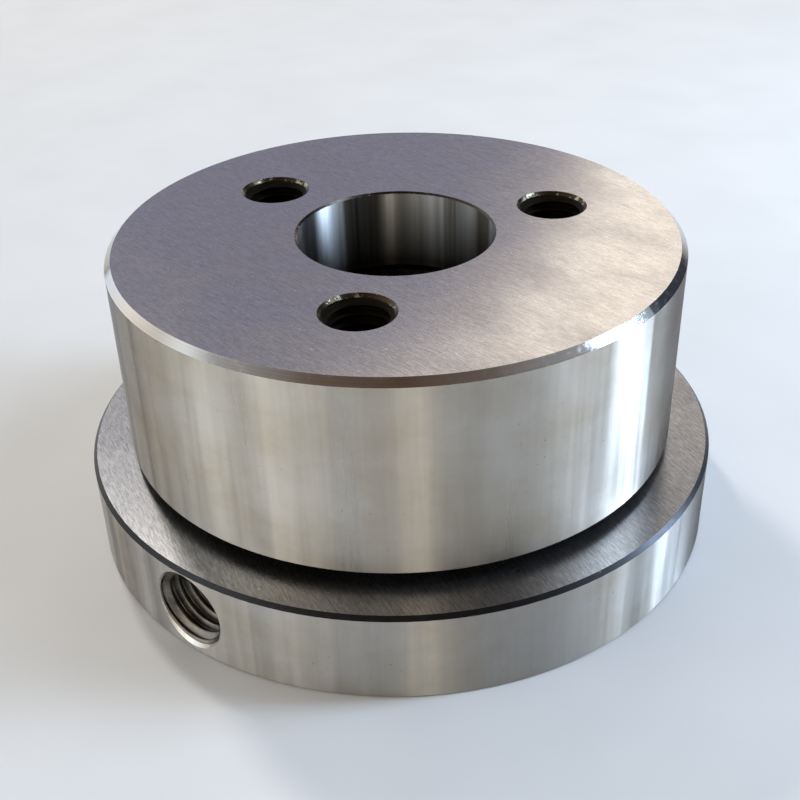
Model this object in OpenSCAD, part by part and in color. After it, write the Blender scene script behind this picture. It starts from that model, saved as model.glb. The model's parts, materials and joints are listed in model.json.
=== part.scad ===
// Roller one-way clutch with a lever flange, in millimetres.
// The origin is the centre of the flange's underside and +Z is the shaft axis.
// The lever hole points along -Y.

/* [Barrel] */
// Outside diameter of the barrel
barrel_d = 87; // [82:0.5:110]
// Thickness of the barrel's closed end
end_wall = 13; // [12:0.5:20]
// Shaft bore, in the barrel and in the hub
bore_d = 30; // [24:0.5:32]
// Chamfer on the barrel's top edge
barrel_chamfer = 1; // [0.4:0.1:2]
// Chamfer on the mouths of the shaft bore
bore_chamfer = 0.3; // [0.2:0.1:1.2]
// Break on the lower edges of the barrel and the flange
foot_break = 0.2; // [0.1:0.1:0.6]

/* [Face bolts] */
// Number of threaded holes in the barrel's face
bolt_count = 3; // [2:1:6]
// Diameter of their bolt circle
bolt_circle_d = 52; // [50:0.5:60]
// Nominal thread diameter of the face bolts
bolt_thread_d = 10; // [6:1:10]
// Wall left under the points of the face holes
bolt_floor = 1.5; // [0.5:0.1:4]
// Angle of the first face bolt, from the X axis
bolt_angle = 56.4; // [0:0.2:119]

/* [Lever flange] */
// Outside diameter of the flange
flange_d = 100; // [98:0.5:130]
// Thickness of the flange
flange_h = 14.5; // [13.8:0.1:20]
// Chamfer on the flange's top edge
flange_chamfer = 0.6; // [0.3:0.1:0.7]
// Nominal thread diameter of the lever hole
lever_thread_d = 12; // [8:1:12]
// Wall from the hub's neck to the end of the lever hole's thread
lever_wall = 2; // [1:0.5:8]
// How far a thread's countersink reaches past its nominal radius
countersink = 0.5; // [0.2:0.1:0.6]
// Open gap between the flange and the barrel
running_gap = 2; // [1:0.1:4]

/* [Roller set] */
// Number of rollers
roller_count = 8; // [6:1:8]
// Diameter of a roller
roller_d = 10; // [8:0.2:10.4]
// Length of a roller
roller_len = 10; // [8:0.5:16]
// Angle at which a roller wedges between ramp and race
wedge_angle = 7; // [5:0.5:9]
// Room above and below a roller in its pocket
roller_end_play = 0.3; // [0.1:0.05:0.6]
// Diameter of a spring plunger
plunger_d = 4; // [3:0.2:4.2]
// Length of a spring plunger
plunger_len = 5; // [4:0.2:5.6]
// Depth of a plunger's bore in the hub
plunger_bore_depth = 6.2; // [5.8:0.1:6.4]
// Wire diameter of a plunger spring
spring_wire = 0.45; // [0.3:0.05:0.5]
// Number of coils in a plunger spring
spring_coils = 6; // [4:1:7]

/* [Retaining parts] */
// Wall of the hub's spigot around the shaft bore
spigot_wall = 2; // [1.5:0.1:3]
// Wall of the hub's neck outside the flange screws
neck_wall = 2.5; // [1.5:0.1:3]
// Radial width of the bronze guide ring
guide_w = 4.9; // [4:0.1:6]
// Thickness of the bronze guide ring
guide_h = 2; // [1.5:0.1:4]
// Step from the raceway out to the guide ring's seat
guide_step = 1; // [0.6:0.1:1.5]
// Thickness of the snap ring
snap_h = 1.5; // [1:0.1:2.5]
// Depth of the snap ring's groove
snap_groove = 1.6; // [1:0.1:2]
// Radial width of the snap ring
snap_w = 3.4; // [3:0.1:3.8]
// Wall left below the snap ring's groove
snap_land = 1.7; // [1.2:0.1:4]
// Thickness of the thrust washer
washer_h = 1.5; // [1:0.1:3]
// Radial width of the felt seal
felt_w = 8; // [6:0.5:9]

/* [Flange screws] */
// Nominal diameter of a flange screw
screw_d = 6; // [4:1:6]
// Wall between the spigot's seat and a screw's counterbore
screw_web = 1.1; // [0.6:0.1:2]
// How far a flange screw reaches into the hub
screw_bite = 6; // [4:0.5:7]
// How far the screw heads lie below the flange's underside
screw_sink = 0.5; // [0.2:0.1:0.8]

/* [Hidden] */
$fn = 64;

// Clearances
film = 0.05;            // between a rolling or thrust face and its partner
slide_fit = 0.05;       // radial, around a plunger or a screw
guide_fit = 0.06;       // radial, between guide ring and neck
seat_fit = 0.02;        // radial, between parts that stay together
hub_fit = 0.15;         // radial, between hub and raceway
felt_play = 0.3;        // between the felt seal and the barrel
past = 1;               // how far a cut runs past the face it opens

// Radii
barrel_r = barrel_d / 2;
bore_r = bore_d / 2;
flange_r = flange_d / 2;
roller_r = roller_d / 2;
plunger_r = plunger_d / 2;
screw_r = screw_d / 2;
bore_relief = 1.5;
relief_r = bore_r + bore_relief;

// Screws: head radius and key width are the same share of the screw's diameter
head_share = 5 / 6;
head_r = screw_d * head_share;
head_h = screw_d;
socket_af = screw_d * head_share;
socket_h = screw_d / 2;
head_fit = 0.4;
hole_fit = 0.3;
counterbore_r = head_r + head_fit;
screw_hole_r = screw_r + hole_fit;
head_z = screw_sink + head_h;
screw_len = flange_h - head_z + screw_bite;

// Radii, from the shaft bore outwards
spigot_r = bore_r + spigot_wall;
spigot_seat_r = spigot_r + seat_fit;
screw_circle_r = spigot_seat_r + screw_web + counterbore_r;
neck_r = screw_circle_r + screw_r + neck_wall;
guide_r = neck_r + guide_fit + guide_w + seat_fit;
race_r = guide_r - guide_step;
hub_r = race_r - hub_fit;
groove_r = guide_r + snap_groove;

// Heights, from the flange's underside upwards
barrel_z = flange_h + running_gap;
groove_z = barrel_z + snap_land;
guide_z = groove_z + snap_h;
pocket_z = guide_z + guide_h + 2 * film;
roller_z = pocket_z + roller_end_play;
hub_top = pocket_z + roller_len + 2 * roller_end_play;
washer_z = hub_top + film;
wall_z = washer_z + washer_h + film;
top_z = wall_z + end_wall;
relief_h = 3.3;         // depth of the relief at the top of the hub's bore

// A roller's place in its pocket: x runs along the ramp towards the wedge, y is radial
roller_centre_r = race_r - roller_r - film;
roller_x = roller_centre_r * sin(wedge_angle);
roller_y = roller_centre_r * cos(wedge_angle);
ramp_y = roller_y - roller_r - film;
plunger_front = 1.5;    // how far a plunger stands out of its bore
plunger_x = roller_x - roller_r - film;
shoulder_x = plunger_x - plunger_front;
pocket_end_x = roller_x + roller_r + past;
pocket_sink = 0.2;      // pocket floor below the underside of the teeth
pocket_h = hub_top - pocket_z + pocket_sink + past;
plunger_drop = 1.3;     // plunger axis below the roller's centre
plunger_y = roller_y - plunger_drop;
plunger_z = roller_z + roller_len / 2;
plunger_wall = 0.5;     // wall of the plunger's cup
plunger_face = 1;       // thickness of the plunger's closed end
pocket_step = 360 / roller_count;

// Springs, inside the plungers' cups
spring_r = plunger_r - plunger_wall - spring_wire / 2 - 2 * film;
spring_x = shoulder_x - plunger_bore_depth + spring_wire / 2 + film;
spring_len = plunger_x - plunger_face - film - spring_wire / 2 - spring_x;
spring_steps = 12;      // points in one coil
spring_sides = 5;       // sides of the wire

// Screws stand under the hub's teeth, half a pitch round from the lever hole
tooth_angle = 19;       // from a pocket's ramp to the tooth behind it
lever_angle = -90;
screw_angle = lever_angle + pocket_step / 2;
pocket_angle = screw_angle - tooth_angle;

// Threaded holes end in a drill point
drill_slope = tan(31);  // a drill point's height over its radius
tap_share = 0.85;       // tap drill over nominal thread diameter
point_share = tap_share * drill_slope / 2;
bolt_depth = end_wall - bolt_floor - bolt_thread_d * point_share;
lever_depth = flange_r - neck_r - lever_wall;

// A flat ring standing on z
module ring(inner, outer, z, h) {
    translate([0, 0, z])
        rotate_extrude(angle = 360)
            translate([inner, 0])
                square([outer - inner, h]);
}

// A threaded hole's cut: its mouth at the origin, running down -Z
module threaded_hole(d, depth) {
    r = d / 2;
    mouth_r = r + countersink;
    tip_r = r * tap_share;
    tip_h = d * point_share;
    translate([0, 0, -depth])
        cylinder(r = r, h = depth + past);
    translate([0, 0, -countersink])
        cylinder(r1 = r, r2 = mouth_r + past, h = countersink + past);
    translate([0, 0, -depth - tip_h])
        cylinder(r1 = 0, r2 = tip_r, h = tip_h);
}

// Places a child in the frame of one roller's pocket, with x along the ramp
module in_pocket(i) {
    rotate([0, 0, pocket_angle - 90 + (i - 1) * pocket_step])
        children();
}

// Places a child under each tooth of the hub
module at_screws() {
    for (i = [0 : roller_count - 1])
        rotate([0, 0, screw_angle + i * pocket_step])
            translate([screw_circle_r, 0, 0])
                children();
}

// Closed cup: raceway below, shaft bore and bolt holes in the end wall
module barrel() {
    color("lightsteelblue")
        difference() {
            rotate_extrude(angle = 360)
                polygon([
                    [guide_r, barrel_z],
                    [barrel_r - foot_break, barrel_z],
                    [barrel_r, barrel_z + foot_break],
                    [barrel_r, top_z - barrel_chamfer],
                    [barrel_r - barrel_chamfer, top_z],
                    [bore_r + bore_chamfer, top_z],
                    [bore_r, top_z - bore_chamfer],
                    [bore_r, wall_z],
                    [race_r, wall_z],
                    [race_r, guide_z + guide_h],
                    [guide_r, guide_z + guide_h],
                    [guide_r, guide_z],
                    [groove_r, guide_z],
                    [groove_r, groove_z],
                    [guide_r, groove_z]]);
            for (i = [0 : bolt_count - 1])
                rotate([0, 0, bolt_angle + i * 360 / bolt_count])
                    translate([bolt_circle_d / 2, 0, top_z])
                        threaded_hole(bolt_thread_d, bolt_depth);
        }
}

// Disc under the barrel, with the lever's threaded hole in its edge
module lever_flange() {
    color("silver")
        difference() {
            rotate_extrude(angle = 360)
                polygon([
                    [spigot_seat_r, 0],
                    [flange_r - foot_break, 0],
                    [flange_r, foot_break],
                    [flange_r, flange_h - flange_chamfer],
                    [flange_r - flange_chamfer, flange_h],
                    [spigot_seat_r, flange_h]]);
            rotate([0, 0, lever_angle])
                translate([flange_r, 0, flange_h / 2])
                    rotate([0, 90, 0])
                        threaded_hole(lever_thread_d, lever_depth);
            at_screws() {
                translate([0, 0, -past])
                    cylinder(r = screw_hole_r, h = flange_h + 2 * past);
                translate([0, 0, -past])
                    cylinder(r = counterbore_r, h = head_z + past);
            }
        }
}

// Inner star: spigot, neck and ramped teeth around the shaft bore
module cam_hub() {
    color("lightgray")
        difference() {
            rotate_extrude(angle = 360)
                polygon([
                    [bore_r + bore_chamfer, screw_sink],
                    [spigot_r, screw_sink],
                    [spigot_r, flange_h],
                    [neck_r, flange_h],
                    [neck_r, pocket_z],
                    [hub_r, pocket_z],
                    [hub_r, hub_top],
                    [relief_r, hub_top],
                    [relief_r, hub_top - relief_h],
                    [bore_r, hub_top - relief_h],
                    [bore_r, screw_sink + bore_chamfer]]);
            for (i = [1 : roller_count])
                in_pocket(i) {
                    translate([shoulder_x, ramp_y, pocket_z - pocket_sink])
                        cube([pocket_end_x - shoulder_x, race_r - ramp_y, pocket_h]);
                    translate([shoulder_x - plunger_bore_depth, plunger_y, plunger_z])
                        rotate([0, 90, 0])
                            cylinder(r = plunger_r + slide_fit, h = plunger_bore_depth + past);
                }
            at_screws()
                translate([0, 0, flange_h - past])
                    cylinder(r = screw_r, h = screw_bite + past + film);
        }
}

// Bronze ring that centres the barrel on the hub's neck and closes the roller space
module guide_ring() {
    color("goldenrod")
        ring(neck_r + guide_fit, guide_r - seat_fit, guide_z, guide_h);
}

// Split ring in the barrel's groove, under the guide ring
module snap_ring() {
    snap_play = 0.1;
    split = 10;
    color("dimgray")
        translate([0, 0, groove_z + snap_play])
            rotate([0, 0, split / 2])
                rotate_extrude(angle = 360 - split)
                    translate([groove_r - snap_play - snap_w, 0])
                        square([snap_w, snap_h - snap_play]);
}

// Bronze washer between the hub's teeth and the barrel's end wall
module thrust_washer() {
    washer_play = 0.5;
    washer_inset = 3.5;
    color("goldenrod")
        ring(relief_r + washer_inset, race_r - washer_play, washer_z, washer_h);
}

// Felt ring around the neck, standing on the flange
module felt_seal() {
    color("darkslategray")
        ring(neck_r + 2 * film, neck_r + felt_w, flange_h, running_gap - felt_play);
}

// Socket-head screws that hold the flange to the hub
module flange_screws() {
    color("dimgray")
        at_screws()
            difference() {
                union() {
                    translate([0, 0, screw_sink])
                        cylinder(r = head_r, h = head_h);
                    translate([0, 0, head_z])
                        cylinder(r = screw_r - slide_fit, h = screw_len);
                }
                translate([0, 0, screw_sink - past])
                    cylinder(d = socket_af / cos(30), h = socket_h + past, $fn = 6);
            }
}

// Hardened roller, at rest between its ramp and the race
module roller(i) {
    edge = 0.4;
    color("gainsboro")
        in_pocket(i)
            translate([roller_x, roller_y, roller_z])
                rotate_extrude(angle = 360)
                    polygon([
                        [0, 0],
                        [roller_r - edge, 0],
                        [roller_r, edge],
                        [roller_r, roller_len - edge],
                        [roller_r - edge, roller_len],
                        [0, roller_len]]);
}

// Cup-shaped pin that pushes a roller towards the wedge
module plunger(i) {
    color("slategray")
        in_pocket(i)
            translate([plunger_x, plunger_y, plunger_z])
                rotate([0, -90, 0])
                    difference() {
                        cylinder(r = plunger_r, h = plunger_len);
                        translate([0, 0, plunger_face])
                            cylinder(r = plunger_r - plunger_wall, h = plunger_len);
                    }
}

// Point on the spring's wire: a share of its length, and an angle round the wire
function spring_point(share, a) = let (
        turn = share * spring_coils * 360,
        out = spring_r + spring_wire / 2 * cos(a))
    [share * spring_len + spring_wire / 2 * sin(a), out * cos(turn), out * sin(turn)];

// Coil spring inside a plunger's cup, swept along a helix
module spring(i) {
    rings = spring_coils * spring_steps;
    points = [for (k = [0 : rings], s = [0 : spring_sides - 1])
        spring_point(k / rings, s * 360 / spring_sides)];
    walls = [for (k = [0 : rings - 1], s = [0 : spring_sides - 1]) let (
            next = (s + 1) % spring_sides,
            low = k * spring_sides,
            high = low + spring_sides)
        [low + s, low + next, high + next, high + s]];
    first = [for (s = [spring_sides - 1 : -1 : 0]) s];
    last = [for (s = [0 : spring_sides - 1]) rings * spring_sides + s];
    color("gray")
        in_pocket(i)
            translate([spring_x, plunger_y, plunger_z])
                polyhedron(points = points, faces = concat(walls, [first, last]));
}

barrel();
lever_flange();
cam_hub();
guide_ring();
snap_ring();
thrust_washer();
felt_seal();
flange_screws();
for (i = [1 : roller_count]) {
    roller(i);
    plunger(i);
    spring(i);
}
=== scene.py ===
import json
import math

import bmesh
import bpy
from mathutils import Matrix, Vector


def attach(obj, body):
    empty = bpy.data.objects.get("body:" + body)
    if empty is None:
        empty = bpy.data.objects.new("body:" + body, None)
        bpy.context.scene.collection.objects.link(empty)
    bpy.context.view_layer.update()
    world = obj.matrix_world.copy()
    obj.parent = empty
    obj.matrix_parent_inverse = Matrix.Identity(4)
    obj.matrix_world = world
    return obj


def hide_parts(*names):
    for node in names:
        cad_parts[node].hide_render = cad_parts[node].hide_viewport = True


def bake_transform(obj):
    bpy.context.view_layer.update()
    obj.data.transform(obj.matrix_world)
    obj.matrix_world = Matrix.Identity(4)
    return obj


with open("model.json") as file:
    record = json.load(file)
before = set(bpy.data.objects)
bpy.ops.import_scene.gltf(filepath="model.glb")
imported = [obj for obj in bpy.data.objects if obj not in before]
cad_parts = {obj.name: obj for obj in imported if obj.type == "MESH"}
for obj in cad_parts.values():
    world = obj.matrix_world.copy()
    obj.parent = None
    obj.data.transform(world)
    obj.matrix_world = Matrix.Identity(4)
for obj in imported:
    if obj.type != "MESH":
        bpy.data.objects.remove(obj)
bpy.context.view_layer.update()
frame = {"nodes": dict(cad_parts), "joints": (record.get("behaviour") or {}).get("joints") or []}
parts = frame["nodes"]

MM = 0.001
MICRON = 0.000001

# The photograph's view is turned by this angle, in degrees, about the part's Z axis
PHOTO_TURN = 38.23
TURN = Matrix.Rotation(math.radians(PHOTO_TURN), 4, "Z")

# Sizes of the solids, in metres
BARREL_R = 43.5 * MM
TOP_Z = 47 * MM
END_WALL = 13 * MM
BORE_R = 15 * MM
FLANGE_R = 50 * MM
FLANGE_H = 14.5 * MM
BOLT_COUNT = 3
BOLT_R = 26 * MM
BOLT_ANGLE = 56.4
BOLT_THREAD_R = 5 * MM
BOLT_PITCH = 1.5 * MM
BOLT_THREAD_DEPTH = 8.9 * MM
LEVER_THREAD_R = 6 * MM
LEVER_PITCH = 1.75 * MM
LEVER_THREAD_DEPTH = 18.9 * MM
SINK = 0.5 * MM
SPRING_WIRE = 0.45 * MM
SPRING_TURNS = 6
POCKETS = range(1, 9)


# Materials


def set_stops(node, stops):
    """Fills a colour ramp; stops are (place, colour or grey)."""
    ramp = node.color_ramp.elements
    while len(ramp) < len(stops):
        ramp.new(1.0)
    for item, (place, colour) in zip(ramp, stops):
        grey = isinstance(colour, (int, float))
        item.position = place
        item.color = (colour, colour, colour, 1) if grey else (*colour, 1)


def socket(sockets, key):
    """The socket with this identifier; a mix node has several of one name."""
    return next(s for s in sockets if s.identifier == key)


def shade(colour, factor):
    """A colour made darker or lighter."""
    return tuple(min(1, c * factor) for c in colour)


class Nodes:
    """A material's node tree, with short calls for the nodes used here."""

    def __init__(self, name):
        self.mat = bpy.data.materials.new(name)
        self.mat.use_nodes = True
        self.tree = self.mat.node_tree
        self.bsdf = self.tree.nodes["Principled BSDF"]
        self.coords = self.add("ShaderNodeTexCoord").outputs["Object"]

    def add(self, kind, **values):
        node = self.tree.nodes.new(kind)
        for key, value in values.items():
            setattr(node, key, value)
        return node

    def link(self, source, target):
        self.tree.links.new(source, target)

    def scaled(self, scale, turn=0.0, shift=(0, 0, 0)):
        """Object coordinates in 1/m along each axis, turned about Z first."""
        first = self.add("ShaderNodeMapping")
        first.inputs["Rotation"].default_value = (0, 0, math.radians(-turn))
        second = self.add("ShaderNodeMapping")
        second.inputs["Scale"].default_value = scale
        second.inputs["Location"].default_value = shift
        self.link(self.coords, first.inputs["Vector"])
        self.link(first.outputs["Vector"], second.inputs["Vector"])
        return second.outputs["Vector"]

    def noise(self, vector, detail=2.0, rough=0.5, distortion=0.0):
        node = self.add("ShaderNodeTexNoise")
        node.inputs["Scale"].default_value = 1.0
        node.inputs["Detail"].default_value = detail
        node.inputs["Roughness"].default_value = rough
        node.inputs["Distortion"].default_value = distortion
        self.link(vector, node.inputs["Vector"])
        return node.outputs["Fac"]

    def ramp(self, value, stops):
        node = self.add("ShaderNodeValToRGB")
        set_stops(node, stops)
        self.link(value, node.inputs["Fac"])
        return node.outputs["Color"]

    def mix(self, kind, factor, a, b):
        """Colour mix; factor is a number or a socket, a and b are sockets or colours."""
        node = self.add("ShaderNodeMix", data_type="RGBA", blend_type=kind)
        for key, value in (("Factor_Float", factor), ("A_Color", a), ("B_Color", b)):
            target = socket(node.inputs, key)
            if isinstance(value, bpy.types.NodeSocket):
                self.link(value, target)
            elif key == "Factor_Float":
                target.default_value = value
            else:
                target.default_value = (*value, 1)
        return socket(node.outputs, "Result_Color")

    def multiply(self, a, b):
        return self.mix("MULTIPLY", 1.0, a, b)

    def spread(self, value, low, high, start=0.0, end=1.0):
        """Maps start..end to low..high."""
        node = self.add("ShaderNodeMapRange", clamp=True)
        node.inputs["From Min"].default_value = start
        node.inputs["From Max"].default_value = end
        node.inputs["To Min"].default_value = low
        node.inputs["To Max"].default_value = high
        self.link(value, node.inputs["Value"])
        return node.outputs["Result"]

    def bump(self, height, strength, distance, normal=None):
        node = self.add("ShaderNodeBump")
        node.inputs["Strength"].default_value = strength
        node.inputs["Distance"].default_value = distance
        self.link(height, node.inputs["Height"])
        if normal:
            self.link(normal, node.inputs["Normal"])
        return node.outputs["Normal"]

    def metal(self, colour, rough, normal, aniso=0.0, tangent=None, turn=0.0):
        self.bsdf.inputs["Metallic"].default_value = 1.0
        self.bsdf.inputs["Anisotropic"].default_value = aniso
        self.bsdf.inputs["Anisotropic Rotation"].default_value = turn
        self.link(colour, self.bsdf.inputs["Base Color"])
        self.link(rough, self.bsdf.inputs["Roughness"])
        self.link(normal, self.bsdf.inputs["Normal"])
        if tangent:
            self.link(tangent, self.bsdf.inputs["Tangent"])
        return self.mat

    def radial(self):
        node = self.add("ShaderNodeTangent", direction_type="RADIAL", axis="Z")
        return node.outputs["Tangent"]


# Turn of the anisotropic highlight that smears light along a cylinder's axis
ALONG_AXIS = 0.25


def ground_flat(name, base, angle, rough=0.18, lines=0.15, bump=0.2):
    """A surface-ground flat face: short strokes at an angle from X, and dull patches."""
    n = Nodes(name)
    strokes = n.noise(n.scaled((520, 3400, 900), angle), 3, 0.65)
    grain = n.noise(n.scaled((2600, 5200, 900), angle, (3, 7, 1)), 2, 0.6)
    patches = n.noise(n.scaled((75, 110, 90), angle, (11, 2, 5)), 5, 0.6)
    scratch = n.noise(n.scaled((90, 5200, 900), angle + 38, (17, 31, 3)), 1, 0.5)
    specks = n.noise(n.scaled((1300, 3200, 900), angle, (7, 3, 3)), 0, 0.5)
    light = shade(base, 1 + lines)
    dull = n.ramp(patches, [(0.34, (0.84, 0.83, 0.84)), (0.62, (1, 1, 1))])
    colour = n.ramp(strokes, [(0.32, shade(base, 1 - lines)), (0.5, base), (0.68, light)])
    colour = n.multiply(colour, dull)
    colour = n.multiply(colour, n.ramp(grain, [(0.3, 0.8), (0.6, 1.0)]))
    speckled = n.ramp(specks, [(0.81, 0.0), (0.85, 0.5)])
    colour = n.mix("MIX", speckled, colour, (0.85, 0.83, 0.8))
    scratched = n.ramp(scratch, [(0.78, 0.0), (0.82, 0.3)])
    colour = n.mix("MIX", scratched, colour, light)
    roughness = n.spread(patches, rough + 0.04, rough - 0.03, 0.34, 0.62)
    normal = n.bump(grain, bump * 0.5, 20 * MICRON)
    normal = n.bump(strokes, bump, 30 * MICRON, normal)
    return n.metal(colour, roughness, normal)


def ground_round(name, base, rough=0.33, aniso=1.0, streak=0.12):
    """A cylinder ground round its axis: fine rings, upright streaks, stains and pits."""
    n = Nodes(name)
    rings = n.noise(n.scaled((45, 45, 5200)), 2, 0.6)
    streaks = n.noise(n.scaled((190, 190, 7), shift=(4, 9, 2)), 4, 0.65)
    stains = n.noise(n.scaled((70, 70, 95), shift=(1, 5, 8)), 5, 0.62)
    pits = n.noise(n.scaled((2300, 2300, 2300), shift=(2, 2, 6)), 0, 0.5)
    crowd = n.noise(n.scaled((90, 90, 90), shift=(8, 1, 4)), 2, 0.5)
    dark, light = shade(base, 1 - streak), shade(base, 1 + streak)
    colour = n.ramp(streaks, [(0.36, dark), (0.5, base), (0.64, light)])
    warm = n.ramp(stains, [(0.34, (0.86, 0.82, 0.75)), (0.6, (1.0, 1.0, 1.0))])
    colour = n.multiply(colour, warm)
    few = n.multiply(n.ramp(pits, [(0.81, 0.0), (0.85, 0.5)]),
                     n.ramp(crowd, [(0.5, 0.0), (0.6, 1.0)]))
    colour = n.mix("MIX", few, colour, (0.14, 0.13, 0.12))
    roughness = n.spread(streaks, rough - 0.06, rough + 0.06, 0.36, 0.64)
    normal = n.bump(rings, 0.08, 20 * MICRON)
    n.bsdf.inputs["Specular Tint"].default_value = (0.32, 0.32, 0.34, 1)
    return n.metal(colour, roughness, normal, aniso, n.radial(), ALONG_AXIS)


def polished(name, base, rough=0.1, wear=(0.5, 0.48, 0.45), worn=0.7):
    """A turned and polished edge, with rings, nicks and worn spots."""
    n = Nodes(name)
    rings = n.noise(n.scaled((30, 30, 7000)), 1, 0.5)
    nicks = n.noise(n.scaled((700, 700, 700), shift=(5, 3, 9)), 3, 0.7)
    colour = n.ramp(rings, [(0.3, shade(base, 0.9)), (0.7, base)])
    colour = n.mix("MIX", n.ramp(nicks, [(worn, 0.0), (worn + 0.05, 0.7)]), colour, wear)
    roughness = n.spread(nicks, rough, rough + 0.15, 0.5, 0.75)
    normal = n.bump(nicks, 0.06, 40 * MICRON)
    return n.metal(colour, roughness, n.bump(rings, 0.05, 10 * MICRON, normal))


def honed(name, base, low, high, rough=0.4):
    """A honed bore: light smeared along its axis, upright streaks of oil with painted shade in
    them, and painted shade deepening towards its low end.
    """
    n = Nodes(name)
    streaks = n.noise(n.scaled((210, 210, 5), shift=(2, 6, 1)), 3, 0.55)
    rings = n.noise(n.scaled((40, 40, 6500)), 1, 0.5)
    # dark streaks: oil, made far darker as painted shade in the bore's middle
    oil_and_painted_shade = tuple(c * w for c, w in zip(base, (0.16, 0.14, 0.11)))
    colour = n.ramp(streaks, [(0.4, oil_and_painted_shade), (0.62, base)])
    split = n.add("ShaderNodeSeparateXYZ")
    n.link(n.coords, split.inputs["Vector"])
    # painted shade: the bore's colour darkens from high down to low, standing in for the shade
    # deep inside it
    painted_shade_by_height = n.spread(split.outputs["Z"], 0.0, 1.0, low, high)
    colour = n.multiply(colour, n.ramp(painted_shade_by_height, [(0.0, (0.1, 0.09, 0.08)), (1.0, (1, 1, 1))]))
    roughness = n.spread(streaks, rough + 0.06, rough - 0.06, 0.36, 0.62)
    normal = n.bump(rings, 0.06, 10 * MICRON)
    return n.metal(colour, roughness, normal, 1.0, n.radial(), ALONG_AXIS)


def oily(name, base, oil, rough=0.3):
    """A cut steel wall inside a hole, with brown oil left in patches."""
    n = Nodes(name)
    film = n.noise(n.scaled((160, 160, 220)), 4, 0.6)
    cuts = n.noise(n.scaled((300, 300, 5000)), 2, 0.6)
    colour = n.ramp(film, [(0.38, oil), (0.62, base)])
    colour = n.multiply(colour, n.ramp(cuts, [(0.3, 0.75), (0.7, 1.0)]))
    roughness = n.spread(film, rough - 0.08, rough + 0.15, 0.35, 0.65)
    return n.metal(colour, roughness, n.bump(cuts, 0.2, 30 * MICRON))


def turned(name, base, rough=0.3, aniso=0.5):
    """A turned piece of bronze or steel, with tool rings and mottled colour."""
    n = Nodes(name)
    rings = n.noise(n.scaled((20, 20, 6000)), 2, 0.6)
    mottle = n.noise(n.scaled((180, 180, 180)), 4, 0.6)
    colour = n.ramp(mottle, [(0.35, shade(base, 0.78)), (0.65, base)])
    roughness = n.spread(mottle, rough - 0.06, rough + 0.12, 0.35, 0.65)
    return n.metal(colour, roughness, n.bump(rings, 0.15, 20 * MICRON), aniso, n.radial())


def felt_cloth(name):
    """Oiled felt: matted fibres, nearly black."""
    n = Nodes(name)
    fibres = n.noise(n.scaled((2600, 2600, 2600)), 4, 0.75, 1.5)
    clumps = n.noise(n.scaled((300, 300, 300), shift=(1, 1, 1)), 3, 0.6)
    colour = n.ramp(fibres, [(0.3, (0.008, 0.008, 0.008)), (0.7, (0.045, 0.042, 0.038))])
    colour = n.multiply(colour, n.ramp(clumps, [(0.35, 0.6), (0.65, 1.0)]))
    n.bsdf.inputs["Sheen Weight"].default_value = 0.25
    n.link(colour, n.bsdf.inputs["Base Color"])
    n.link(n.spread(clumps, 0.85, 1.0), n.bsdf.inputs["Roughness"])
    n.link(n.bump(fibres, 0.6, 200 * MICRON), n.bsdf.inputs["Normal"])
    return n.mat


def black_oxide(name):
    """Blackened screws, rubbed bright here and there."""
    n = Nodes(name)
    rub = n.noise(n.scaled((500, 500, 500)), 4, 0.65)
    grain = n.noise(n.scaled((5000, 5000, 5000)), 2, 0.6)
    colour = n.ramp(rub, [(0.5, (0.03, 0.031, 0.034)), (0.68, (0.06, 0.06, 0.06)),
                          (0.74, (0.3, 0.3, 0.3))])
    roughness = n.spread(rub, 0.5, 0.28, 0.45, 0.72)
    return n.metal(colour, roughness, n.bump(grain, 0.15, 30 * MICRON))


face_mat = ground_flat("barrel_face_ground", (0.52, 0.495, 0.48), -7)
side_mat = ground_round("barrel_side_ground", (0.56, 0.535, 0.49))
edge_mat = polished("edge_polished", (0.55, 0.54, 0.53))
# the bore's painted shade fades out between these two heights
bore_mat = honed("bore_honed", (0.56, 0.575, 0.59), TOP_Z - 12 * MM, TOP_Z - 1 * MM)
# hole walls: brown oil, darkened to near black as painted shade inside the holes
hole_oil_and_shade_mat = oily("hole_oiled_painted_shade", (0.06, 0.045, 0.025), (0.02, 0.012, 0.006))
inner_mat = oily("inside_oiled", (0.35, 0.33, 0.3), (0.16, 0.13, 0.09))
deck_mat = ground_flat("flange_face_ground", (0.36, 0.355, 0.36), -26, 0.3, 0.3, 0.35)
base_mat = ground_flat("flange_base_ground", (0.46, 0.44, 0.42), 12)
rim_mat = ground_round("flange_side_ground", (0.48, 0.465, 0.44), 0.36)
dark_edge_mat = polished("flange_edge_dark", (0.03, 0.031, 0.034), 0.3, (0.3, 0.29, 0.28))
sink_mat = polished("countersink_cut", (0.52, 0.5, 0.47), 0.2)
# face-hole countersinks: oil, darkened to near black as painted shade of the holes
mouth_oil_and_shade_mat = polished("hole_mouth_oiled_painted_shade", (0.055, 0.042, 0.025), 0.3, (0.45, 0.4, 0.3), 0.56)
lip_mat = polished("bore_edge_worn", (0.06, 0.05, 0.04), 0.25, (0.5, 0.48, 0.45), 0.62)
thread_mat = oily("thread_cut", (0.3, 0.285, 0.26), (0.09, 0.078, 0.06), 0.34)
# face-hole threads: oil, darkened to near black as painted shade inside the holes
thread_oil_and_shade_mat = oily("thread_oiled_painted_shade", (0.014, 0.011, 0.007), (0.005, 0.004, 0.003), 0.6)


# Which material each CAD face gets, from its centre and its normal

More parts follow.
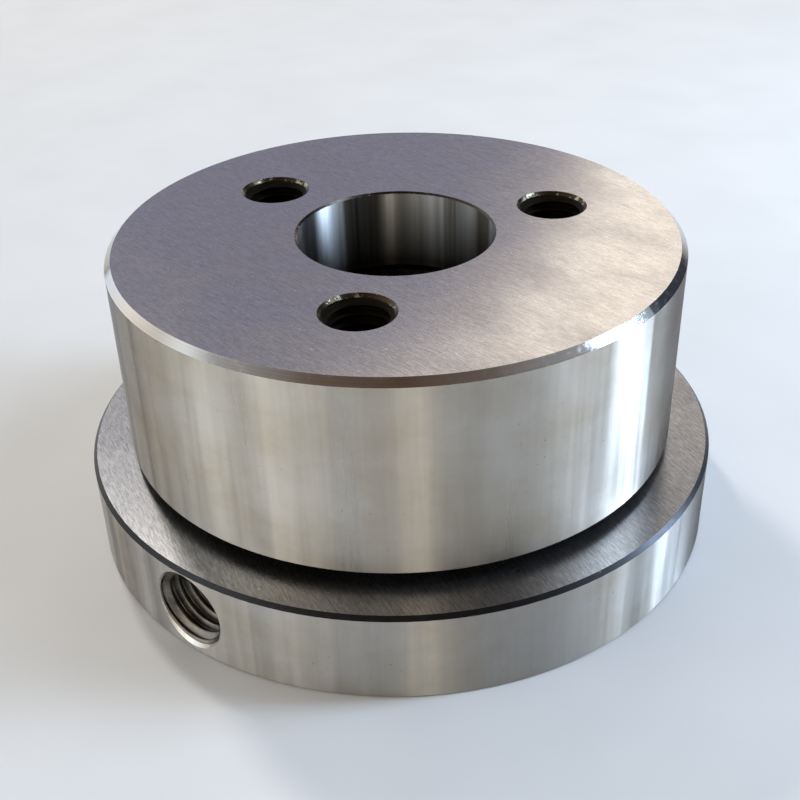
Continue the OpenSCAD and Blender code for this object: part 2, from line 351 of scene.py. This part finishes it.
FLAT = 0.9              # a normal with more than this along an axis faces that way
UPRIGHT = 0.2           # a normal with less than this along Z is an upright wall's
SLOPED = 0.3            # a normal with more than this along a hole's axis is a cone's
NEAR = 0.1 * MM         # slack in comparing a face's centre with a plane or a radius
BARREL_BAND = 1.2 * MM  # band at the barrel's outside that holds its side and edges
FLANGE_BAND = 1 * MM    # the same for the flange
BORE_BAND = 0.7 * MM    # band round the bore that holds its lip
FACE_HOLE_ZONE = 12 * MM
LEVER_HOLE_END = -30 * MM


def dress(node, slots, choose):
    """Gives a CAD node its materials; choose(face centre, face normal) names the slot."""
    obj = parts[node]
    obj.data.materials.clear()
    names = list(slots)
    for name in names:
        obj.data.materials.append(slots[name])
    for face in obj.data.polygons:
        face.material_index = names.index(choose(face.center, face.normal))


def barrel_slot(c, n):
    r = math.hypot(c.x, c.y)
    if r > BARREL_R - BARREL_BAND:
        if abs(n.z) < UPRIGHT:
            return "side"
        return "edge" if n.z < FLAT else "face"
    if n.z > FLAT and c.z > TOP_Z - NEAR:
        return "face"
    if r < BORE_R + BORE_BAND and c.z > TOP_Z - END_WALL - NEAR:
        return "lip" if abs(n.z) > SLOPED else "bore"
    if c.z > TOP_Z - FACE_HOLE_ZONE and r < BARREL_R - 2 * MM:
        return "sink" if c.z > TOP_Z - SINK * 1.02 else "hole"
    return "inside"


def flange_slot(c, n):
    if n.z > FLAT and c.z > FLANGE_H - NEAR:
        return "deck"
    if n.z < -FLAT and c.z < NEAR:
        return "base"
    from_axis = math.hypot(c.x, c.z - FLANGE_H / 2)
    in_hole = c.y < LEVER_HOLE_END and from_axis < LEVER_THREAD_R + SINK + NEAR
    if in_hole and n.y > -FLAT:
        return "sink" if n.y < -SLOPED and c.y < 2 * SINK - FLANGE_R else "hole"
    if math.hypot(c.x, c.y) > FLANGE_R - FLANGE_BAND:
        return "side" if abs(n.z) < UPRIGHT else "edge"
    return "inside"


dress("barrel", {"face": face_mat, "side": side_mat, "edge": edge_mat, "bore": bore_mat,
                 "lip": lip_mat, "sink": mouth_oil_and_shade_mat, "hole": hole_oil_and_shade_mat, "inside": inner_mat},
      barrel_slot)
dress("lever_flange", {"deck": deck_mat, "base": base_mat, "side": rim_mat,
                       "edge": dark_edge_mat, "sink": sink_mat, "hole": hole_oil_and_shade_mat,
                       "inside": inner_mat},
      flange_slot)

bronze_mat = turned("bronze_turned", (0.6, 0.38, 0.17))
ring_mat = turned("spring_steel_dark", (0.2, 0.2, 0.215), 0.35)
roller_mat = ground_round("roller_lapped", (0.62, 0.62, 0.63), 0.14, 0.4, 0.05)
wire_mat = turned("spring_wire", (0.3, 0.3, 0.31), 0.3, 0.3)
plain = {
    "cam_hub": oily("hub_hardened", (0.3, 0.28, 0.26), (0.12, 0.1, 0.08)),
    "guide_ring": bronze_mat,
    "thrust_washer": bronze_mat,
    "snap_ring": ring_mat,
    "felt_seal": felt_cloth("felt_oiled"),
    "flange_screws": black_oxide("screws_blackened"),
}
for i in POCKETS:
    plain[f"roller_{i}"] = roller_mat
    plain[f"plunger_{i}"] = ring_mat
for name, mat in plain.items():
    dress(name, {"all": mat}, lambda c, n: "all")


def mesh_object(name, bm, mat):
    """Puts a bmesh into the scene as an object with one material."""
    mesh = bpy.data.meshes.new(name)
    bm.to_mesh(mesh)
    bm.free()
    mesh.materials.append(mat)
    obj = bpy.data.objects.new(name, mesh)
    bpy.context.scene.collection.objects.link(obj)
    return obj


# Threads in the holes

THREAD_SIDES = 96       # points round a thread
THREAD_ROWS = 14        # rings of points in one pitch
THREAD_HEIGHT = 0.54    # from a hole's wall to the crest, over the pitch
ROOT_FLAT = 0.14        # share of half a pitch that is the root's flat
FLANK = 0.7             # share of half a pitch that slopes up to the crest
WALL_GAP = 0.01 * MM    # from a hole's wall to the back of its thread
ROOT_GAP = 0.04 * MM    # from a hole's wall to the root of its thread


def thread(name, place, body, mat, major, pitch, depth):
    """A screw thread in a plain hole: place maps the origin to the mouth and -Z into the hole."""
    wall = major - WALL_GAP
    root = major - ROOT_GAP
    crest = major - THREAD_HEIGHT * pitch
    mouth = major + SINK
    start = mouth - root
    steps = int((depth - start) / pitch * THREAD_ROWS)
    bm = bmesh.new()

    def ring_at(d, radius):
        """A ring of points at a depth; radius(j) is the j-th point's distance from the axis."""
        ring = []
        for j in range(THREAD_SIDES):
            a = 2 * math.pi * j / THREAD_SIDES
            r = radius(j)
            ring.append(bm.verts.new((r * math.cos(a), r * math.sin(a), -d)))
        return ring

    def profile(d):
        def radius(j):
            phase = (d / pitch - j / THREAD_SIDES) % 1.0
            rise = (1 - abs(2 * phase - 1) - ROOT_FLAT) / FLANK
            flank = min(1.0, max(0.0, rise))
            return max(root - (root - crest) * flank, min(mouth - d, root))
        return radius

    depths = [start + (depth - start) * k / steps for k in range(steps + 1)]
    rings = [ring_at(d, profile(d)) for d in depths]
    rings += [ring_at(d, lambda j: wall) for d in (depth, start)]
    for low, high in zip(rings, rings[1:] + rings[:1]):
        for j in range(THREAD_SIDES):
            k = (j + 1) % THREAD_SIDES
            bm.faces.new((low[j], low[k], high[k], high[j])).smooth = True
    bmesh.ops.recalc_face_normals(bm, faces=bm.faces)
    obj = mesh_object(name, bm, mat)
    obj.data.transform(place)
    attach(obj, body)


for i in range(BOLT_COUNT):
    a = math.radians(BOLT_ANGLE + 360 / BOLT_COUNT * i)
    place = Matrix.Translation((BOLT_R * math.cos(a), BOLT_R * math.sin(a), TOP_Z))
    thread(f"face_thread_{i + 1}", place, "barrel", thread_oil_and_shade_mat,
           BOLT_THREAD_R, BOLT_PITCH, BOLT_THREAD_DEPTH)
lever_mouth = Matrix.Translation((0, -FLANGE_R, FLANGE_H / 2))
lever_place = lever_mouth @ Matrix.Rotation(math.radians(90), 4, "X")
thread("lever_thread", lever_place, "hub", thread_mat,
       LEVER_THREAD_R, LEVER_PITCH, LEVER_THREAD_DEPTH)


# Springs, as coils of round wire in the CAD springs' places

COIL_STEPS = 36         # rings of points in one turn of the wire
COIL_SIDES = 10         # points round the wire


def coil(i):
    """A round-wire spring in the CAD spring's place, from the hub to its plunger."""
    node = parts[f"spring_{i}"]
    slide = next(j for j in frame["joints"] if j["name"] == f"plunger_{i}_slide")
    along = Vector(slide["axis"]).normalized()
    up = Vector((0, 0, 1))
    axes = (along, up.cross(along), up)
    points = [node.matrix_world @ v.co for v in node.data.vertices]
    low = [min(p.dot(axis) for p in points) for axis in axes]
    high = [max(p.dot(axis) for p in points) for axis in axes]
    middle = [(a + b) / 2 for a, b in zip(low, high)]
    wire = SPRING_WIRE / 2
    radius = (high[2] - low[2]) / 2 - wire
    length = high[0] - low[0] - 2 * wire
    steps = SPRING_TURNS * COIL_STEPS

    def place(x, y, z):
        return along * x + axes[1] * (middle[1] + y) + up * (middle[2] + z)

    bm = bmesh.new()
    rings = []
    for k in range(steps + 1):
        a = 2 * math.pi * k / COIL_STEPS
        x = low[0] + wire + length * k / steps
        ring = []
        for s in range(COIL_SIDES):
            b = 2 * math.pi * s / COIL_SIDES
            out = radius + wire * math.cos(b)
            spot = place(x + wire * math.sin(b), out * math.cos(a), out * math.sin(a))
            ring.append(bm.verts.new(spot))
        rings.append(ring)
    for ring, after in zip(rings, rings[1:]):
        for s in range(COIL_SIDES):
            t = (s + 1) % COIL_SIDES
            bm.faces.new((ring[s], ring[t], after[t], after[s])).smooth = True
    bm.faces.new(rings[0])
    bm.faces.new(rings[-1])
    bmesh.ops.recalc_face_normals(bm, faces=bm.faces)
    obj = mesh_object(f"coil_{i}", bm, wire_mat)
    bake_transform(obj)
    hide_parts(f"spring_{i}")


for i in POCKETS:
    coil(i)


# Camera, as the photograph was taken

CAMERA_PITCH = 32.523   # degrees, downwards
CAMERA_ROLL = -1.634    # degrees
CAMERA_PLACE = (0, -0.166201, 0.122535)
CAMERA_LENS = 53.708    # mm, on a sensor of
CAMERA_SENSOR = 36


def camera():
    pitch, roll = math.radians(CAMERA_PITCH), math.radians(CAMERA_ROLL)
    ahead = Vector((0, math.cos(pitch), -math.sin(pitch)))
    right = Vector((1, 0, 0))
    up = right.cross(ahead)
    rolled_right = right * math.cos(roll) + up * math.sin(roll)
    rolled_up = up * math.cos(roll) - right * math.sin(roll)
    pose = Matrix((rolled_right, rolled_up, -ahead)).transposed().to_4x4()
    pose.translation = CAMERA_PLACE
    data = bpy.data.cameras.new("camera")
    data.lens = CAMERA_LENS
    data.sensor_width = CAMERA_SENSOR
    data.clip_start = 2 * MM
    obj = bpy.data.objects.new("camera", data)
    bpy.context.scene.collection.objects.link(obj)
    obj.matrix_world = TURN @ pose
    bpy.context.scene.camera = obj


camera()


# Floor, lamps and the room's light

FLOOR_R = 6
LAMP_AIM = Vector((0, 0, 0.025))
WINDOW_BLUE = (0.6, 0.77, 1.0)

# The room's colours round the horizon and above: degrees in the photograph's frame, colour
LOW_RING = [
    (-180, (1.5, 1.6, 1.65)), (-168, (2.2, 2.3, 2.3)), (-147, (2.6, 2.55, 2.4)),
    (-118, (1.6, 1.52, 1.35)), (-108, (0.9, 0.84, 0.74)), (-92, (0.25, 0.21, 0.16)),
    (-89.3, (4.7, 4.2, 3.3)), (-86, (0.3, 0.26, 0.2)),
    (-82, (5.3, 4.8, 3.9)), (-79, (0.4, 0.36, 0.28)), (-68, (0.12, 0.1, 0.07)),
    (-54, (0.03, 0.025, 0.02)), (-34, (0.12, 0.12, 0.11)),
    (-28, (0.8, 0.82, 0.82)), (-24, (4.0, 4.2, 4.5)), (-20, (0.8, 0.88, 0.98)),
    (-8, (1.2, 1.35, 1.5)), (14, (1.0, 1.15, 1.3)),
    (24, (0.05, 0.06, 0.08)), (48, (0.06, 0.06, 0.08)), (62, (0.6, 0.57, 0.52)),
    (74, (1.8, 1.67, 1.5)), (92, (1.8, 1.67, 1.5)), (102, (0.4, 0.4, 0.42)),
    (132, (1.1, 1.25, 1.4)), (150, (1.4, 1.33, 1.22)), (165, (1.0, 0.93, 0.84)),
    (180, (1.5, 1.6, 1.65)),
]
HIGH_RING = [
    (-180, (0.6, 0.6, 0.6)), (-135, (0.2, 0.15, 0.12)), (-90, (0.13, 0.08, 0.055)),
    (-45, (0.2, 0.16, 0.14)), (0, (0.5, 0.52, 0.55)), (60, (0.25, 0.25, 0.27)),
    (84, (0.4, 0.4, 0.4)), (104, (0.3, 0.3, 0.3)), (140, (0.8, 0.78, 0.74)),
    (180, (0.6, 0.6, 0.6)),
]
RING_BLEND = (0.52, 0.64)       # heights between which the low ring gives way to the high one
DARK_WALL = (0.335, 0.34, 0.455)
DARK_WALL_WAY = (-0.1344, 0.9565, 0.2588)
DARK_WALL_EDGE = (0.945, 0.955)  # cosines between which the dark wall begins


def floor():
    bm = bmesh.new()
    bmesh.ops.create_circle(bm, cap_ends=True, radius=FLOOR_R, segments=96)
    n = Nodes("floor_pale")
    grain = n.noise(n.scaled((40, 40, 40)), 2, 0.5)
    n.link(n.ramp(grain, [(0.3, 0.62), (0.7, 0.65)]), n.bsdf.inputs["Base Color"])
    n.bsdf.inputs["Roughness"].default_value = 0.9
    n.bsdf.inputs["Specular IOR Level"].default_value = 0.1
    obj = mesh_object("floor", bm, n.mat)


def softbox(name, place, size, power, colour):
    """An area lamp at a place given in the photograph's own directions."""
    data = bpy.data.lights.new(name, "AREA")
    data.shape = "RECTANGLE"
    data.size, data.size_y = size
    data.energy = power
    data.color = colour
    obj = bpy.data.objects.new(name, data)
    bpy.context.scene.collection.objects.link(obj)
    at = TURN @ Vector(place)
    obj.location = at
    obj.rotation_euler = (at - LAMP_AIM).to_track_quat("Z", "Y").to_euler()


def room():
    """The room's light: two rings of colour, one above the other, and a dark wall behind."""
    world = bpy.data.worlds.new("room")
    bpy.context.scene.world = world
    world.use_nodes = True
    tree = world.node_tree
    links = tree.links
    coords = tree.nodes.new("ShaderNodeTexCoord")
    turn = tree.nodes.new("ShaderNodeMapping")
    turn.inputs["Rotation"].default_value = (0, 0, math.radians(-PHOTO_TURN))
    split = tree.nodes.new("ShaderNodeSeparateXYZ")
    angle = tree.nodes.new("ShaderNodeMath")
    angle.operation = "ARCTAN2"
    share = tree.nodes.new("ShaderNodeMapRange")
    share.inputs["From Min"].default_value = -math.pi
    share.inputs["From Max"].default_value = math.pi
    links.new(coords.outputs["Generated"], turn.inputs["Vector"])
    links.new(turn.outputs["Vector"], split.inputs["Vector"])
    links.new(split.outputs["Y"], angle.inputs[0])
    links.new(split.outputs["X"], angle.inputs[1])
    links.new(angle.outputs["Value"], share.inputs["Value"])

    def ring(stops):
        node = tree.nodes.new("ShaderNodeValToRGB")
        set_stops(node, [((degrees + 180) / 360, colour) for degrees, colour in stops])
        links.new(share.outputs["Result"], node.inputs["Fac"])
        return node.outputs["Color"]

    def soft(value, start, end):
        node = tree.nodes.new("ShaderNodeMapRange")
        node.interpolation_type = "SMOOTHSTEP"
        node.inputs["From Min"].default_value = start
        node.inputs["From Max"].default_value = end
        links.new(value, node.inputs["Value"])
        return node.outputs["Result"]

    def mix(factor, a, b):
        """Colour mix; a is a socket, b is a socket or a colour."""
        node = tree.nodes.new("ShaderNodeMix")
        node.data_type = "RGBA"
        links.new(factor, socket(node.inputs, "Factor_Float"))
        links.new(a, socket(node.inputs, "A_Color"))
        if isinstance(b, tuple):
            socket(node.inputs, "B_Color").default_value = (*b, 1)
        else:
            links.new(b, socket(node.inputs, "B_Color"))
        return socket(node.outputs, "Result_Color")

    wall = tree.nodes.new("ShaderNodeVectorMath")
    wall.operation = "DOT_PRODUCT"
    wall.inputs[1].default_value = DARK_WALL_WAY
    links.new(turn.outputs["Vector"], wall.inputs[0])
    colour = mix(soft(split.outputs["Z"], *RING_BLEND), ring(LOW_RING), ring(HIGH_RING))
    colour = mix(soft(wall.outputs["Value"], *DARK_WALL_EDGE), colour, DARK_WALL)
    back = tree.nodes["Background"]
    links.new(colour, back.inputs["Color"])
    back.inputs["Strength"].default_value = 1.0


floor()
softbox("window_right", (0.5, 0.015, 0.155), (0.12, 0.24), 2.3, WINDOW_BLUE)
softbox("window_high", (0.5, 0.015, 0.55), (0.12, 0.4), 2.1, WINDOW_BLUE)
softbox("window_left", (-0.33, 0.596, 0.837), (0.1, 0.1), 3.8, (1.0, 0.97, 0.92))
softbox("overhead", (0, 0.3, 1.0), (0.7, 0.7), 0.5, (1.0, 0.98, 0.96))
room()

bpy.context.scene.view_settings.view_transform = "Standard"
